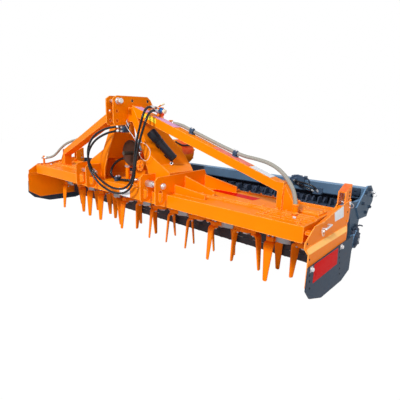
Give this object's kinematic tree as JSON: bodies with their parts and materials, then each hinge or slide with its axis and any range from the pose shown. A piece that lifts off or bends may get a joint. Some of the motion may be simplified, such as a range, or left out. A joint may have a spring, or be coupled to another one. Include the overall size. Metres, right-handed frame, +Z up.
{
  "type": "power harrow",
  "caption": "Tractor-mounted power harrow with vertical-axis rotors carrying tines, a headstock with braces and a toothed packer roller behind.",
  "frame": {"origin": "on the ground, at the middle of the machine's length and width", "axes": "+X to the machine's right end, +Y to the rear where the roller is, +Z up"},
  "size_m": [3.706, 1.4173, 1.354],
  "materials": {
    "orange_paint": "gloss orange paint",
    "orange_cast": "orange paint on castings",
    "tine_paint": "orange paint on forgings",
    "bright_steel": "zinc plated",
    "shaft_steel": "machined, oiled",
    "brown_plastic": "dark plastic",
    "grey_paint": "dark grey paint",
    "blue_grey_paint": "blue-grey paint",
    "dark_paint": "dark blue-grey paint",
    "black_plastic": "black plastic tube",
    "black_rubber": "hose rubber",
    "braided_sheath": "grey braided sleeve"
  },
  "bodies": {
    "frame": {"trough": "orange_paint", "trough_cover": "orange_paint", "bearing_housings": "orange_cast", "stone_guards": "bright_steel", "headstock_left": "orange_paint", "headstock_right": "orange_paint", "top_link_bracket": "orange_paint", "top_link_pin": "bright_steel", "lower_link_bracket_left": "orange_paint", "lower_link_bracket_right": "orange_paint", "lower_link_pins": "bright_steel", "brace_left": "orange_paint", "brace_right": "orange_paint", "gearbox": "orange_paint", "gearbox_drum": "orange_paint", "shaft_shield": "brown_plastic", "side_plate_left": "orange_paint", "side_plate_right": "orange_paint", "side_deflectors": "grey_paint", "levelling_bar": "grey_paint", "depth_pins": "bright_steel", "document_tube": "black_plastic", "hose_bracket": "blue_grey_paint", "hose_clamps": "blue_grey_paint", "hose_one": "black_rubber", "hose_two": "black_rubber", "centre_hose": "braided_sheath", "conduits": "braided_sheath"},
    "rotor_01": {"rotor_01": "tine_paint"},
    "rotor_02": {"rotor_02": "tine_paint"},
    "rotor_03": {"rotor_03": "tine_paint"},
    "rotor_04": {"rotor_04": "tine_paint"},
    "rotor_05": {"rotor_05": "tine_paint"},
    "rotor_06": {"rotor_06": "tine_paint"},
    "rotor_07": {"rotor_07": "tine_paint"},
    "rotor_08": {"rotor_08": "tine_paint"},
    "rotor_09": {"rotor_09": "tine_paint"},
    "rotor_10": {"rotor_10": "tine_paint"},
    "rotor_11": {"rotor_11": "tine_paint"},
    "rotor_12": {"rotor_12": "tine_paint"},
    "rotor_13": {"rotor_13": "tine_paint"},
    "rotor_14": {"rotor_14": "tine_paint"},
    "input_shaft": {"input_shaft": "shaft_steel"},
    "roller_frame": {"roller_frame": "blue_grey_paint", "scrapers": "blue_grey_paint", "roller_valve": "blue_grey_paint", "roller_hose_one": "black_rubber", "roller_hose_two": "black_rubber"},
    "roller": {"roller": "dark_paint"}
  },
  "joints": [
    {"name": "rotor_01_spin", "type": "hinge", "parent": "frame", "child": "rotor_01", "pos_m": [-1.625, -0.1855, 0.32], "axis": [0, 0, 1], "continuous": true},
    {"name": "rotor_02_spin", "type": "hinge", "parent": "frame", "child": "rotor_02", "pos_m": [-1.375, -0.1855, 0.32], "axis": [0, 0, 1], "continuous": true},
    {"name": "rotor_03_spin", "type": "hinge", "parent": "frame", "child": "rotor_03", "pos_m": [-1.125, -0.1855, 0.32], "axis": [0, 0, 1], "continuous": true},
    {"name": "rotor_04_spin", "type": "hinge", "parent": "frame", "child": "rotor_04", "pos_m": [-0.875, -0.1855, 0.32], "axis": [0, 0, 1], "continuous": true},
    {"name": "rotor_05_spin", "type": "hinge", "parent": "frame", "child": "rotor_05", "pos_m": [-0.625, -0.1855, 0.32], "axis": [0, 0, 1], "continuous": true},
    {"name": "rotor_06_spin", "type": "hinge", "parent": "frame", "child": "rotor_06", "pos_m": [-0.375, -0.1855, 0.32], "axis": [0, 0, 1], "continuous": true},
    {"name": "rotor_07_spin", "type": "hinge", "parent": "frame", "child": "rotor_07", "pos_m": [-0.125, -0.1855, 0.32], "axis": [0, 0, 1], "continuous": true},
    {"name": "rotor_08_spin", "type": "hinge", "parent": "frame", "child": "rotor_08", "pos_m": [0.125, -0.1855, 0.32], "axis": [0, 0, 1], "continuous": true},
    {"name": "rotor_09_spin", "type": "hinge", "parent": "frame", "child": "rotor_09", "pos_m": [0.375, -0.1855, 0.32], "axis": [0, 0, 1], "continuous": true},
    {"name": "rotor_10_spin", "type": "hinge", "parent": "frame", "child": "rotor_10", "pos_m": [0.625, -0.1855, 0.32], "axis": [0, 0, 1], "continuous": true},
    {"name": "rotor_11_spin", "type": "hinge", "parent": "frame", "child": "rotor_11", "pos_m": [0.875, -0.1855, 0.32], "axis": [0, 0, 1], "continuous": true},
    {"name": "rotor_12_spin", "type": "hinge", "parent": "frame", "child": "rotor_12", "pos_m": [1.125, -0.1855, 0.32], "axis": [0, 0, 1], "continuous": true},
    {"name": "rotor_13_spin", "type": "hinge", "parent": "frame", "child": "rotor_13", "pos_m": [1.375, -0.1855, 0.32], "axis": [0, 0, 1], "continuous": true},
    {"name": "rotor_14_spin", "type": "hinge", "parent": "frame", "child": "rotor_14", "pos_m": [1.625, -0.1855, 0.32], "axis": [0, 0, 1], "continuous": true},
    {"name": "input_shaft_spin", "type": "hinge", "parent": "frame", "child": "input_shaft", "pos_m": [0, -0.4855, 0.85], "axis": [0, 1, 0], "continuous": true},
    {"name": "roller_arm", "type": "hinge", "parent": "frame", "child": "roller_frame", "pos_m": [0, -0.3955, 0.5], "axis": [1, 0, 0], "range_deg": [-10, 0]},
    {"name": "roller_spin", "type": "hinge", "parent": "roller_frame", "child": "roller", "pos_m": [0, 0.3045, 0.29], "axis": [1, 0, 0], "continuous": true}
  ],
  "couplings": [
    {"joint": "rotor_02_spin", "follows": "rotor_01_spin", "ratio": -1},
    {"joint": "rotor_03_spin", "follows": "rotor_01_spin", "ratio": 1},
    {"joint": "rotor_04_spin", "follows": "rotor_01_spin", "ratio": -1},
    {"joint": "rotor_05_spin", "follows": "rotor_01_spin", "ratio": 1},
    {"joint": "rotor_06_spin", "follows": "rotor_01_spin", "ratio": -1},
    {"joint": "rotor_07_spin", "follows": "rotor_01_spin", "ratio": 1},
    {"joint": "rotor_08_spin", "follows": "rotor_01_spin", "ratio": -1},
    {"joint": "rotor_09_spin", "follows": "rotor_01_spin", "ratio": 1},
    {"joint": "rotor_10_spin", "follows": "rotor_01_spin", "ratio": -1},
    {"joint": "rotor_11_spin", "follows": "rotor_01_spin", "ratio": 1},
    {"joint": "rotor_12_spin", "follows": "rotor_01_spin", "ratio": -1},
    {"joint": "rotor_13_spin", "follows": "rotor_01_spin", "ratio": 1},
    {"joint": "rotor_14_spin", "follows": "rotor_01_spin", "ratio": -1},
    {"joint": "input_shaft_spin", "follows": "rotor_01_spin", "ratio": 3}
  ]
}
